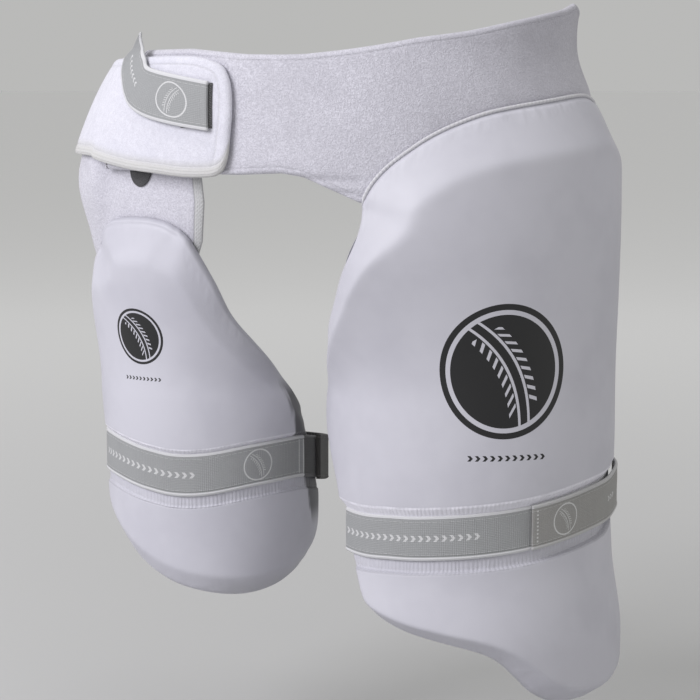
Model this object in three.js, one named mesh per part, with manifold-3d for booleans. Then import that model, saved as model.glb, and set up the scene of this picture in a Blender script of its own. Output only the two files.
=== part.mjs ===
// A cricket thigh guard: a waist belt with a closure flap, a large pad for one thigh and a smaller
// pad for the other, and the elastic straps that hold them. Millimetres, +Z up, the wearer faces -Y,
// +X is the wearer's left. The origin is the middle of the waist, half way up the belt's front.
import * as THREE from 'three';
import Module from 'manifold-3d';

const wasm = await Module();
wasm.setup();

// Waist and hips
const waistHalfLeft = 165;
const waistHalfRight = 152;
const waistHalfDepth = 112;
const hipFlareLeft = 7;
const hipFlareRight = 51;
const hipFlareDepth = 6;
const hipLipLeft = 4;
const hipRollLeft = 4;

// Thighs
const thighAxisLeft = 99;
const thighAxisRight = 104;
const thighRadiusLeft = 78;
const thighRadiusRight = 67.5;
const thighTaperRight = 6;
const thighTopLeft = -62;
const thighBlendLeft = 130;
const thighTopRight = -45;
const thighBlendRight = 150;
const taperTopRight = -200;
const taperLengthRight = 150;

// Layers, from the body outwards
const layerGap = 0.5;
const seamGap = 0.8;
const yokeThickness = 4.9;
const hookThickness = 1.2;
const beltThickness = 6.5;
const flapThickness = 5.6;
const strapThickness = 1.7;

// Belt, flap and yoke
const beltHeight = 80;
const flapHeight = 83;
const yokeHeight = 137;
const yokePatchRadius = 13.3;
const waistStrapWidth = 34;

// Pads
const outerPadTop = 16;
const outerPadHeight = 421;
const outerPadDepth = 25;
const outerPadFlare = 6;
const outerBevelWidth = 36;
const leftBevelTop = -80;
const leftBevelBlend = 110;
const innerPadTop = -69;
const innerPadHeight = 277;
const innerPadDepth = 17;
const innerBevelWidth = 25;
const padRimDepth = 7;
const outerSeamDepth = 3;
const innerSeamDepth = 4;

// Thigh straps
const thighStrapWidth = 31;
const outerChannelDepth = 3;
const outerCinch = 3;
const outerChannelAbove = 6;
const outerChannelBelow = 9.5;
const innerChannelDepth = 1.6;
const innerCinch = 1.5;
const innerChannelAbove = 3;
const innerChannelBelow = 9;
const outerStrapDrop = 286;
const innerStrapDrop = 167;
const tabBulge = 3.5;
const tabOverhang = 1.5;
const overlapLift = 5;

// Offsets of the layers from the body
const yokeOuter = -(hookThickness + 2 * layerGap);
const yokeInner = yokeOuter - yokeThickness;
const hookInner = yokeOuter + layerGap;
const flapInner = beltThickness + layerGap;
const flapOuter = flapInner + flapThickness;
const waistHookInner = flapOuter + layerGap;
const waistStrapInner = waistHookInner + hookThickness + layerGap;
const innerPadSeat = yokeOuter + seamGap;
const outerPadSeat = beltThickness + seamGap;

const fullTurn = 360;
const radians = THREE.MathUtils.degToRad;
const clamp01 = (x) => THREE.MathUtils.clamp(x, 0, 1);
const lerp = THREE.MathUtils.lerp;

function smooth(x) {
  const t = clamp01(x);
  return t * t * (3 - 2 * t);
}

// Body surfaces
// The hips are an ellipse at each height. The wearer's right hip swells out below the waistline. The
// left one has a lip at the belt's top and a roll just above the pad.
const flareTop = 0.61 * beltHeight;

function hipHalfWidth(side, z) {
  const above = 1 - clamp01((flareTop - z) / (1.625 * beltHeight));
  if (side < 0) return waistHalfRight + hipFlareRight * (1 - above * above);
  const lip = clamp01((z - 0.69 * beltHeight) / (0.31 * beltHeight));
  const flare = smooth((0.65 * beltHeight - z) / (0.5 * beltHeight));
  const roll = Math.exp(-(((z - 0.125 * beltHeight) / (0.24 * beltHeight)) ** 2));
  return waistHalfLeft + hipLipLeft * lip * lip + hipFlareLeft * flare + hipRollLeft * roll;
}

function hipHalfDepth(z) {
  return waistHalfDepth + hipFlareDepth * clamp01((flareTop - z) / (0.95 * beltHeight));
}

// A point on the hips: turn 0 is the front and +90 the wearer's left, depth is outwards.
function onHips(turn, z, depth) {
  const sin = Math.sin(radians(turn));
  const cos = Math.cos(radians(turn));
  const a = hipHalfWidth(sin, z);
  const b = hipHalfDepth(z);
  const normal = new THREE.Vector2(sin / a, -cos / b).normalize();
  return new THREE.Vector3(a * sin + depth * normal.x, -b * cos + depth * normal.y, z);
}

// Distance from a thigh's axis to the hips in one direction.
function reachToHips(axisX, turn, z, depth) {
  const sin = Math.sin(radians(turn));
  const cos = Math.cos(radians(turn));
  const b = hipHalfDepth(z) + depth;
  const reach = (side) => {
    const a = hipHalfWidth(side, z) + depth;
    const square = (sin / a) ** 2 + (cos / b) ** 2;
    const linear = 2 * axisX * sin / a ** 2;
    const rest = (axisX / a) ** 2 - 1;
    return (-linear + Math.sqrt(linear ** 2 - 4 * square * rest)) / (2 * square);
  };
  const left = reach(1);
  return axisX + left * sin > 0 ? left : reach(-1);
}

// Each thigh blends from the hips above into a round leg below.
const leftThigh = {
  axisX: thighAxisLeft,
  radius(turn, z) {
    const blend = smooth((thighTopLeft - z) / thighBlendLeft);
    return lerp(reachToHips(thighAxisLeft, turn, z, outerPadSeat), thighRadiusLeft, blend);
  },
};
const rightThigh = {
  axisX: -thighAxisRight,
  radius(turn, z) {
    const blend = smooth((thighTopRight - z) / thighBlendRight);
    const leg = thighRadiusRight - thighTaperRight * clamp01((taperTopRight - z) / taperLengthRight);
    return lerp(reachToHips(-thighAxisRight, turn, z, 0), leg, blend);
  },
};

function aroundThigh(thigh, turn, z, radius) {
  const angle = radians(turn);
  return new THREE.Vector3(thigh.axisX + radius * Math.sin(angle), -radius * Math.cos(angle), z);
}

function onThigh(thigh, turn, z, depth) {
  return aroundThigh(thigh, turn, z, thigh.radius(turn, z) + depth);
}

// Solids
// A closed solid between an outer and an inner grid of points. With ring set, the last row joins
// the first one.
function shell(rows, columns, pointAt, ring = false) {
  const positions = [];
  for (const face of ['outer', 'inner']) {
    for (let row = 0; row < rows; row += 1) {
      for (let column = 0; column < columns; column += 1) {
        positions.push(...pointAt(row, column, face).toArray());
      }
    }
  }
  const index = [];
  const at = (row, column, inner) => (inner * rows + (row % rows)) * columns + column;
  const quad = (a, b, c, d) => index.push(a, b, c, a, c, d);
  const lastRow = ring ? rows : rows - 1;
  for (let row = 0; row < lastRow; row += 1) {
    for (let column = 0; column < columns - 1; column += 1) {
      quad(at(row, column, 0), at(row + 1, column, 0), at(row + 1, column + 1, 0), at(row, column + 1, 0));
      quad(at(row, column, 1), at(row, column + 1, 1), at(row + 1, column + 1, 1), at(row + 1, column, 1));
    }
    const end = columns - 1;
    quad(at(row, 0, 0), at(row, 0, 1), at(row + 1, 0, 1), at(row + 1, 0, 0));
    quad(at(row, end, 0), at(row + 1, end, 0), at(row + 1, end, 1), at(row, end, 1));
  }
  if (!ring) {
    for (let column = 0; column < columns - 1; column += 1) {
      const end = rows - 1;
      quad(at(0, column, 0), at(0, column + 1, 0), at(0, column + 1, 1), at(0, column, 1));
      quad(at(end, column, 0), at(end, column, 1), at(end, column + 1, 1), at(end, column + 1, 0));
    }
  }
  if (signedVolume(positions, index) < 0) index.reverse();
  const geometry = new THREE.BufferGeometry();
  geometry.setAttribute('position', new THREE.Float32BufferAttribute(positions, 3));
  geometry.setIndex(index);
  geometry.computeVertexNormals();
  return geometry;
}

function signedVolume(positions, index) {
  const corner = (k) => new THREE.Vector3().fromArray(positions, 3 * index[k]);
  let volume = 0;
  for (let k = 0; k < index.length; k += 3) {
    volume += corner(k).dot(corner(k + 1).cross(corner(k + 2))) / 6;
  }
  return volume;
}

// A table's values between its rows, along its first column.
function lookUp(table, columns, key) {
  const after = table.findIndex((row) => row[columns[0]] >= key);
  if (after === 0) return table[0];
  if (after < 0) return table[table.length - 1];
  const [low, high] = [table[after - 1], table[after]];
  const share = (key - low[columns[0]]) / (high[columns[0]] - low[columns[0]]);
  return Object.fromEntries(columns.map((name) => [name, lerp(low[name], high[name], share)]));
}

// A table written as rows under named columns.
function tableOf(columns, rows) {
  return rows.map((row) => Object.fromEntries(columns.map((name, k) => [name, row[k]])));
}

// A soft band whose rims are rolled: full thickness inside, thin at the low and high rims.
const rimSteps = [
  { share: 0, full: 0.4 },
  { share: 0.35, full: 0.8 },
  { share: 1, full: 1 },
];

function bandLevels(low, high, roll, middleSteps) {
  const levels = rimSteps.map((step) => ({ z: low + step.share * roll, full: step.full }));
  for (let k = 1; k < middleSteps; k += 1) {
    levels.push({ z: lerp(low + roll, high - roll, k / middleSteps), full: 1 });
  }
  for (const step of rimSteps.toReversed()) levels.push({ z: high - step.share * roll, full: step.full });
  return levels;
}

function softBand({ turns, edgesAt, place, inner, outer, middleSteps = 5, endRoll = 1 }) {
  const middle = (inner + outer) / 2;
  const roll = (outer - inner) / 2;
  const rows = turns.map((turn, row) => {
    const { low, high } = edgesAt(turn);
    const atEnd = row === 0 || row === turns.length - 1;
    return { turn, thin: atEnd ? endRoll : 1, levels: bandLevels(low, high, roll, middleSteps) };
  });
  return shell(rows.length, rows[0].levels.length, (row, column, face) => {
    const { turn, thin, levels } = rows[row];
    const { z, full } = levels[column];
    const half = roll * full * thin;
    return place(turn, z, face === 'outer' ? middle + half : middle - half);
  });
}

function evenTurns(from, to, steps) {
  return Array.from({ length: steps + 1 }, (_, k) => lerp(from, to, k / steps));
}

// Turns with one short step at each end, where a band's end is rolled.
function rolledTurns(from, to, steps, roll) {
  return [from, ...evenTurns(from + roll, to - roll, steps), to];
}

function piece(name, geometry, colour, roughness) {
  const material = new THREE.MeshStandardMaterial({ color: colour, roughness, metalness: 0 });
  const mesh = new THREE.Mesh(geometry, material);
  mesh.name = name;
  return mesh;
}

// Waist belt
// Heights are shares of the belt's height. The lower edge dips where the large pad is sewn on.
const beltEdges = tableOf(['turn', 'low', 'high'], [
  [-48, -0.45, 0.597],
  [-26, -0.455, 0.605],
  [-8, -0.461, 0.555],
  [2, -0.44, 0.55],
  [7, -0.47, 0.556],
  [15, -0.6, 0.585],
  [20, -0.68, 0.608],
  [26, -0.68, 0.64],
  [34, -0.65, 0.69],
  [47, -0.6, 0.745],
  [60, -0.575, 0.825],
  [72, -0.56, 0.89],
  [83, -0.56, 0.94],
  [90, -0.56, 0.99],
  [104, -0.55, 0.92],
  [130, -0.52, 0.74],
  [180, -0.5, 0.6],
  [220, -0.47, 0.57],
  [244, -0.46, 0.57],
]);

function waistBelt() {
  const [front, back] = [beltEdges[0], beltEdges.at(-1)];
  const geometry = softBand({
    turns: rolledTurns(front.turn, back.turn, 46, 1),
    edgesAt: (turn) => {
      const { low, high } = lookUp(beltEdges, ['turn', 'low', 'high'], turn);
      return { low: low * beltHeight, high: high * beltHeight };
    },
    place: onHips,
    inner: 0,
    outer: beltThickness,
    middleSteps: 6,
    endRoll: 0.5,
  });
  return piece('waist_belt', geometry, 0xd2d0dc, 0.95);
}

// Closure flap
// It is sewn over the belt's back end and laps over its front end, where its corners are round.
const flapLow = -0.472 * flapHeight;
const flapEdges = tableOf(['turn', 'low', 'high'], [
  [-128, 0.03, 0.96],
  [-90, 0.13, 0.97],
  [-56, 0.145, 0.98],
  [-50, 0.115, 0.982],
  [-35, 0.047, 0.993],
  [-27, 0.024, 0.995],
  [-21, 0.004, 0.985],
  [-16.6, 0, 0.955],
  [-13.4, 0.006, 0.914],
  [-11.6, 0.02, 0.85],
  [-10.2, 0.06, 0.75],
  [-9.4, 0.135, 0.61],
  [-9.1, 0.21, 0.49],
]);

function closureFlap() {
  const body = rolledTurns(flapEdges[0].turn, -20, 26, 1).slice(0, -1);
  const corner = [-19, -17.1, -15.3, -13.7, -12.3, -11.2, -10.3, -9.6, -9.1];
  const geometry = softBand({
    turns: [...body, ...corner],
    edgesAt: (turn) => {
      const { low, high } = lookUp(flapEdges, ['turn', 'low', 'high'], turn);
      return { low: flapLow + low * flapHeight, high: flapLow + high * flapHeight };
    },
    place: onHips,
    inner: flapInner,
    outer: flapOuter,
    endRoll: 0.5,
  });
  return piece('closure_flap', geometry, 0xd8d6e2, 0.8);
}

// Waist strap
// Each row holds the turns and heights of its lower and upper edge, the heights as shares of the
// strap's width. Past the hip the free tail turns upwards.
const waistStrapEdges = tableOf(['lowTurn', 'low', 'highTurn', 'high'], [
  [-13.4, -0.215, -15.2, 0.774],
  [-22.4, -0.109, -25.8, 0.912],
  [-31.4, 0.041, -31.8, 0.991],
  [-37.9, 0.238, -36.4, 1.074],
  [-41.4, 0.441, -38.8, 1.235],
  [-44.2, 0.644, -41.6, 1.4],
  [-47.7, 0.932, -43, 1.603],
  [-48.8, 1.22, -43.2, 1.768],
]);

function waistStrap() {
  const steps = 3;
  const rows = (waistStrapEdges.length - 1) * steps + 1;
  const columns = 5;
  const geometry = shell(rows, columns, (row, column, face) => {
    const before = Math.min(Math.floor(row / steps), waistStrapEdges.length - 2);
    const [from, to] = [waistStrapEdges[before], waistStrapEdges[before + 1]];
    const along = (name) => lerp(from[name], to[name], row / steps - before);
    const across = column / (columns - 1);
    const turn = lerp(along('lowTurn'), along('highTurn'), across);
    const z = lerp(along('low'), along('high'), across) * waistStrapWidth;
    return onHips(turn, z, waistStrapInner + (face === 'outer' ? strapThickness : 0));
  });
  return piece('waist_strap', geometry, 0x98999e, 0.75);
}

function waistStrapHook() {
  const geometry = softBand({
    turns: evenTurns(-21, -13.4, 4),
    edgesAt: () => ({ low: -0.16 * waistStrapWidth, high: 0.74 * waistStrapWidth }),
    place: onHips,
    inner: waistHookInner,
    outer: waistHookInner + hookThickness,
    middleSteps: 2,
  });
  return piece('waist_strap_hook', geometry, 0x3a3a3e, 0.9);
}

// Yoke of the smaller pad
// Drops are shares of the yoke's height below its top.
const yokeTop = 0.3125 * beltHeight;
const yokeEdges = tableOf(['drop', 'from', 'to'], [
  [0, -60, 17],
  [0.3, -68, 21],
  [0.6, -75, 23],
  [0.8, -72, 22],
  [1, -60, 17],
]);

// Beyond the belt's front end the yoke swells out towards the flap, clear of the pad below. The
// swelling starts further back lower down, and grows over its last turns.
const swell = { startHigh: -27, startLow: -50, turns: 14, least: 0.15 };

function yokeSwell(turn, z) {
  const down = smooth((-0.75 * beltHeight - z) / (0.56 * beltHeight));
  const start = lerp(swell.startHigh, swell.startLow, down);
  const lower = lerp(1, swell.least, smooth((-0.45 * beltHeight - z) / (0.6 * beltHeight)));
  return (flapInner - layerGap - yokeOuter) * lower * smooth((start - turn) / swell.turns);
}

function innerPadYoke() {
  const rows = 13;
  const columns = 15;
  const geometry = shell(rows, columns, (row, column, face) => {
    const drop = row / (rows - 1);
    const z = yokeTop - drop * yokeHeight;
    const { from, to } = lookUp(yokeEdges, ['drop', 'from', 'to'], drop);
    const turn = lerp(from, to, column / (columns - 1));
    const atRim = row === 0 || row === rows - 1 || column === 0 || column === columns - 1;
    const half = yokeThickness / 2 * (atRim ? 0.5 : 1);
    const middle = (yokeInner + yokeOuter) / 2 + yokeSwell(turn, z);
    return onThigh(rightThigh, turn, z, face === 'outer' ? middle + half : middle - half);
  });
  return piece('inner_pad_yoke', geometry, 0xd6d4e0, 0.95);
}

const yokePatchTurn = -5.6;
const yokePatchLevel = -0.42 * beltHeight;

function yokeHookPatch() {
  const sides = 20;
  const rings = [1, 0.5, 0.02];
  const z = yokePatchLevel;
  const geometry = shell(sides, rings.length, (row, column, face) => {
    const angle = 2 * Math.PI * row / sides;
    const radius = yokePatchRadius * rings[column];
    const reach = waistHalfDepth + hipFlareDepth;
    const turn = yokePatchTurn + THREE.MathUtils.radToDeg(radius * Math.cos(angle) / reach);
    const depth = hookInner + (face === 'outer' ? hookThickness : 0);
    return onThigh(rightThigh, turn, z + radius * Math.sin(angle), depth);
  }, true);
  return piece('yoke_hook_patch', geometry, 0x1c1c20, 0.9);
}

// Pads
// A pad's outline has four sides of turns in degrees and drops as shares of the pad's height. Its
// grid is stretched between them, with closer rows near the rim.
function outlineSide(rows, pad) {
  const degree = radians(1) * pad.reach;
  const points = rows.map(([turn, drop]) => new THREE.Vector2(turn * degree, pad.top - drop * pad.height));
  return new THREE.SplineCurve(points);
}

function closerAtEnds(share) {
  return lerp(share, smooth(share), 0.75);
}

function distanceToLine(point, line) {
  let nearest = Infinity;
  for (let k = 1; k < line.length; k += 1) {
    const along = line[k].clone().sub(line[k - 1]);
    const share = clamp01(point.clone().sub(line[k - 1]).dot(along) / along.lengthSq());
    nearest = Math.min(nearest, point.distanceTo(line[k - 1].clone().addScaledVector(along, share)));
  }
  return nearest;
}

// How far a pad rises at distances from its sides, given in shares of their bevels: straight up the
// bevel, with soft corners and a soft ridge at its top.
const soft = { corner: 0.07, ridge: 0.09, swell: 0.85 };

function padDepth(pad, sides) {
  const pulls = sides.map(({ share }) => Math.exp(-share / soft.corner));
  const total = pulls.reduce((sum, pull) => sum + pull);
  const rim = sides.reduce((sum, side, k) => sum + side.rim * pulls[k], 0) / total;
  const rise = Math.max(-soft.corner * Math.log(total), 0) ** soft.swell;
  const eased = -soft.ridge * Math.log(Math.exp(-rise / soft.ridge) + Math.exp(-1 / soft.ridge));
  return lerp(rim, pad.depth, eased);
}

function padGeometry(pad) {
  const degree = radians(1) * pad.reach;
  const sides = Object.fromEntries(
    Object.entries(pad.outline).map(([name, rows]) => [name, outlineSide(rows, pad)]),
  );
  const lines = Object.fromEntries(
    Object.entries(sides).map(([name, side]) => [name, side.getSpacedPoints(48)]),
  );
  const rows = 26;
  const columns = 22;
  const pointOn = (across, down) => {
    const top = sides.top.getPointAt(across);
    const bottom = sides.bottom.getPointAt(across);
    const left = sides.left.getPointAt(down);
    const right = sides.right.getPointAt(down);
    const corners = sides.top.getPoint(0).lerp(sides.top.getPoint(1), across)
      .lerp(sides.bottom.getPoint(0).lerp(sides.bottom.getPoint(1), across), down);
    return top.lerp(bottom, down).add(left.lerp(right, across)).sub(corners);
  };
  return shell(rows, columns, (row, column, face) => {
    const across = closerAtEnds(column / (columns - 1));
    const down = closerAtEnds(row / (rows - 1));
    const point = pointOn(across, down);
    const turn = point.x / degree;
    const z = point.y;
    const seat = pad.seat + pad.flare * smooth((pad.flareFrom - z) / (pad.height / 7));
    if (face === 'inner') return onThigh(pad.thigh, turn, z, seat);
    const depth = padDepth(pad, Object.entries(lines).map(([name, line]) => {
      const { rim, width } = pad.rims[name];
      const bevel = typeof width === 'function' ? width(z) : width;
      return { rim, share: distanceToLine(point, line) / bevel };
    }));
    const fromStrap = (z - strapHeight(pad, turn)) / (1.5 * thighStrapWidth);
    const cinch = pad.cinch * Math.exp(-fromStrap * fromStrap) * depth / pad.depth;
    return onThigh(pad.thigh, turn, z, seat + depth - cinch);
  });
}

// A strap's height around the thigh: its table's rises are shares of the strap's width.
function strapHeight(pad, turn) {
  const { rise } = lookUp(pad.strapRises, ['turn', 'rise'], turn);
  return pad.top - pad.strapDrop + rise * thighStrapWidth;
}

const outerPad = {
  thigh: leftThigh,
  seat: 0,
  top: outerPadTop,
  height: outerPadHeight,
  depth: outerPadDepth,
  reach: thighRadiusLeft + outerPadDepth,
  flare: outerPadFlare,
  flareFrom: outerPadTop - 0.76 * outerPadHeight,
  cinch: outerCinch,
  channelDepth: outerChannelDepth,
  channelAbove: outerChannelAbove,
  channelBelow: outerChannelBelow,
  strapOnPad: [-42, 121],
  strapDrop: outerStrapDrop,
  strapRises: tableOf(['turn', 'rise'], [
    [-180, 0.42], [-110, 0.02], [-44, -0.48], [-12, -0.45], [8, -0.37], [26, -0.28], [43, -0.17],
    [69, 0.05], [89, 0.17], [106, 0.35], [150, 0.45], [180, 0.42],
  ]),
  rims: {
    top: { rim: outerSeamDepth, width: outerBevelWidth },
    right: { rim: padRimDepth, width: outerBevelWidth / 2 },
    bottom: { rim: padRimDepth, width: outerBevelWidth / 3 },
    left: {
      rim: padRimDepth,
      width: (z) => {
        const upper = smooth((z - leftBevelTop + leftBevelBlend) / leftBevelBlend);
        return outerBevelWidth * lerp(0.42, 0.75, upper);
      },
    },
  },
  outline: {
    top: [
      [-17, 0.173], [-16, 0.154], [-13, 0.128], [-7.6, 0.1], [3, 0.064], [15.6, 0.039],
      [30.4, 0.022], [55.6, 0.008], [78, 0], [92, 0.006], [108, 0.026], [124, 0.055],
    ],
    right: [
      [124, 0.055], [130, 0.133], [133, 0.323], [133, 0.513], [130, 0.703], [126, 0.836],
      [117, 0.936],
    ],
    bottom: [
      [-34, 0.835], [-24, 0.857], [-10, 0.874], [7, 0.887], [22, 0.9], [32, 0.917], [41, 0.946],
      [49, 0.973], [59, 0.992], [72, 1], [86, 0.997], [105, 0.975], [117, 0.936],
    ],
    left: [
      [-17, 0.173], [-17, 0.197], [-19, 0.229], [-24, 0.273], [-31.3, 0.328], [-42.5, 0.382],
      [-56, 0.432], [-68, 0.473], [-73, 0.52], [-71, 0.565], [-62, 0.61], [-56, 0.648],
      [-54, 0.679], [-51.5, 0.715], [-46, 0.753], [-40, 0.793], [-34, 0.835],
    ],
  },
};

const innerPad = {
  thigh: rightThigh,
  seat: innerPadSeat,
  top: innerPadTop,
  height: innerPadHeight,
  depth: innerPadDepth,
  reach: thighRadiusRight + innerPadDepth,
  flare: 0,
  flareFrom: innerPadTop,
  cinch: innerCinch,
  channelDepth: innerChannelDepth,
  channelAbove: innerChannelAbove,
  channelBelow: innerChannelBelow,
  strapOnPad: [-70, 112],
  strapDrop: innerStrapDrop,
  strapRises: tableOf(['turn', 'rise'], [
    [-180, -0.62], [-90, -0.4], [-47, -0.3], [-12, -0.52], [4, -0.61], [21, -0.58], [47, -0.4],
    [74, -0.33], [90, -0.42], [115, -0.6], [150, -0.66], [180, -0.62],
  ]),
  rims: {
    top: { rim: innerSeamDepth, width: innerBevelWidth },
    right: { rim: padRimDepth, width: 0.72 * innerBevelWidth },
    bottom: { rim: padRimDepth, width: 0.6 * innerBevelWidth },
    left: { rim: padRimDepth, width: 0.6 * innerBevelWidth },
  },
  outline: {
    top: [
      [-38, 0.075], [-34, 0.036], [-27, 0.013], [-16, 0.003], [-2, 0], [7, 0.008], [13, 0.026],
    ],
    right: [
      [13, 0.026], [17.5, 0.055], [26, 0.155], [34, 0.249], [46, 0.321], [63, 0.397], [81, 0.473],
      [90, 0.534], [97, 0.592], [108, 0.661], [122, 0.726],
    ],
    bottom: [
      [-64, 0.805], [-44, 0.863], [-23, 0.924], [-2, 0.968], [17, 0.989], [36.5, 1], [54, 0.998],
      [72, 0.982], [94, 0.946], [112, 0.899], [124, 0.841], [127, 0.78], [122, 0.726],
    ],
    left: [
      [-38, 0.075], [-47, 0.128], [-56, 0.202], [-65, 0.292], [-71, 0.401], [-75, 0.527],
      [-76, 0.635], [-72, 0.733], [-64, 0.805],
    ],
  },
};

// Thigh straps
// A strap lies on the pad between two turns and runs straight from there to the back of the thigh.
function strapRadius(pad, turn) {
  const level = strapHeight(pad, turn);
  const onPad = pad.thigh.radius(turn, level) + pad.seat + pad.depth - pad.cinch - pad.channelDepth;
  const skin = pad.thigh.radius(180, level) + layerGap;
  const [from, to] = pad.strapOnPad;
  if (turn >= from && turn <= to) return onPad;
  const past = turn > to ? turn - to : from - turn;
  const free = THREE.MathUtils.radToDeg(Math.acos(skin / onPad));
  return past >= free ? skin : skin / Math.cos(radians(free - past));
}

// Above and below are how far a band reaches beyond the strap's own edges.
const plainBand = { lift: () => 0, above: 0, below: 0, thickness: strapThickness, ring: false };

function thighStrapBand(pad, turns, band) {
  const { lift, above, below, thickness, ring } = { ...plainBand, ...band };
  const columns = 3;
  return shell(turns.length, columns, (row, column, face) => {
    const turn = turns[row];
    const low = -thighStrapWidth / 2 - below;
    const high = thighStrapWidth / 2 + above;
    const z = strapHeight(pad, turn) + lerp(low, high, column / (columns - 1));
    const radius = strapRadius(pad, turn) + lift(turn) + (face === 'outer' ? thickness : 0);
    return aroundThigh(pad.thigh, turn, z, radius);
  }, ring);
}

function strapTurns(pad) {
  const [from, to] = pad.strapOnPad;
  const steps = 26;
  const turns = [...evenTurns(from, to, steps), ...evenTurns(to, from + fullTurn, steps).slice(1, -1)];
  return turns.map((turn) => (turn > fullTurn / 2 ? turn - fullTurn : turn));
}

function thighStrap(name, pad) {
  return piece(name, thighStrapBand(pad, strapTurns(pad), { ring: true }), 0x9a9ba1, 0.75);
}

// The pad with the channel that its strap lies in.
function channelledPad(pad) {
  const channel = thighStrapBand(pad, strapTurns(pad), {
    lift: () => -layerGap,
    above: pad.channelAbove,
    below: pad.channelBelow,
    thickness: 2 * pad.depth,
    ring: true,
  });
  return toGeometry(toSolid(padGeometry(pad)).subtract(toSolid(channel)));
}

function toSolid(geometry) {
  const vertProperties = new Float32Array(geometry.getAttribute('position').array);
  const triVerts = new Uint32Array(geometry.getIndex().array);
  return new wasm.Manifold(new wasm.Mesh({ numProp: 3, vertProperties, triVerts }));
}

function toGeometry(solid) {
  const mesh = solid.getMesh();
  const geometry = new THREE.BufferGeometry();
  geometry.setAttribute('position', new THREE.BufferAttribute(mesh.vertProperties, mesh.numProp));
  geometry.setIndex(new THREE.BufferAttribute(mesh.triVerts, 1));
  geometry.computeVertexNormals();
  return geometry;
}

const overlap = { from: 44, to: 117, leaves: 68, leaving: 34 };

function outerStrapOverlap() {
  const away = (turn) => smooth((turn - overlap.leaves) / overlap.leaving);
  const lift = (turn) => strapThickness + layerGap + overlapLift * away(turn);
  const geometry = thighStrapBand(outerPad, evenTurns(overlap.from, overlap.to, 16), { lift });
  return piece('outer_strap_overlap', geometry, 0x97989d, 0.75);
}

// The tab lies flat on the strap at both ends and bows out between them.
const tab = { from: 96, to: 138, flat: 5 };

function innerStrapTab() {
  const lift = (turn) => {
    const share = clamp01((turn - tab.from - tab.flat) / (tab.to - tab.from - 2 * tab.flat));
    return strapThickness + layerGap + tabBulge * Math.sin(share * Math.PI) ** 2;
  };
  const geometry = thighStrapBand(innerPad, evenTurns(tab.from, tab.to, 14), {
    lift,
    above: tabOverhang,
    below: tabOverhang,
    thickness: 2 * strapThickness,
  });
  return piece('inner_strap_tab', geometry, 0x3d3d3f, 0.85);
}

const thighGuard = new THREE.Group();
thighGuard.add(
  waistBelt(),
  closureFlap(),
  waistStrap(),
  waistStrapHook(),
  innerPadYoke(),
  yokeHookPatch(),
  piece('inner_thigh_pad', channelledPad(innerPad), 0xccccd2, 0.5),
  thighStrap('inner_strap', innerPad),
  innerStrapTab(),
  piece('outer_thigh_pad', channelledPad(outerPad), 0xc4c3cf, 0.5),
  thighStrap('outer_strap', outerPad),
  outerStrapOverlap(),
);

export default thighGuard;
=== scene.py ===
import math

import bpy
import numpy as np
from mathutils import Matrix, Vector


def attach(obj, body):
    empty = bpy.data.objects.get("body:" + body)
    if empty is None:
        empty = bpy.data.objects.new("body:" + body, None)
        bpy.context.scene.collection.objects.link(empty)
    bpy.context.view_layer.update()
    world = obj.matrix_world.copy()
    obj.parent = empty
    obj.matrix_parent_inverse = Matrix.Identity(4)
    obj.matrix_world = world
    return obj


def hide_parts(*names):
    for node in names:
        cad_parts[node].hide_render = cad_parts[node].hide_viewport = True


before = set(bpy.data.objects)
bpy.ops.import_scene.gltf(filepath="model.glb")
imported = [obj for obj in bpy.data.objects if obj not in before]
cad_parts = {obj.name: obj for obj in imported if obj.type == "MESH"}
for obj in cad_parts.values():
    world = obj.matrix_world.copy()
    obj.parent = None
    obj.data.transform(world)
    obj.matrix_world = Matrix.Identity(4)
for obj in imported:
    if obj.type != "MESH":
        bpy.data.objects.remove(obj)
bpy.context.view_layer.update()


# The waist belt
# Two layers of soft foam faced with brushed velour, with the edges turned in and topstitched. It is
# shown as worn, so it stands round the hips, and it is deepest over the wearer's left hip.
# Sizes are in millimetres and turns in degrees from the front, positive towards the wearer's left.
belt_height = 80.0
belt_thickness = 6.5
waist_half_left = 165.0
waist_half_right = 152.0
waist_half_depth = 112.0
hip_flare_left = 7.0
hip_flare_right = 51.0
hip_flare_depth = 6.0
flare_top = 0.61 * belt_height


def clamp(x):
    return np.clip(x, 0.0, 1.0)


def smooth(x):
    t = clamp(x)
    return t * t * (3 - 2 * t)


def between(a, b, share):
    return a + (b - a) * share


def together(*values):
    """Arrays side by side along a new last axis: points, or places on a cloth."""
    return np.stack(np.broadcast_arrays(*values), -1)


def travelled(line):
    """How far along a line each of its points lies."""
    return np.concatenate([[0], np.cumsum(np.linalg.norm(np.diff(line, axis=0), axis=1))])


def cells(grid):
    """The four corners of each cell of a grid."""
    return np.stack([grid[:-1, :-1], grid[1:, :-1], grid[1:, 1:], grid[:-1, 1:]], -1).reshape(-1, 4)


def columns_at(at, rows):
    """The further columns of a table, read at places along its first."""
    return np.array([np.interp(at, rows[:, 0], column) for column in rows[:, 1:].T])


def add_object(name, data):
    made = bpy.data.objects.new(name, data)
    bpy.context.scene.collection.objects.link(made)
    return made


def add_piece(name, mesh, *finishes):
    """Puts a piece's mesh on the guard's one body, smooth and in its finishes."""
    mesh.polygons.foreach_set("use_smooth", np.ones(len(mesh.polygons), bool))
    for finish in finishes:
        mesh.materials.append(finish)
    mesh.update()
    piece = add_object(name, mesh)
    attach(piece, "root")
    return piece


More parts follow.
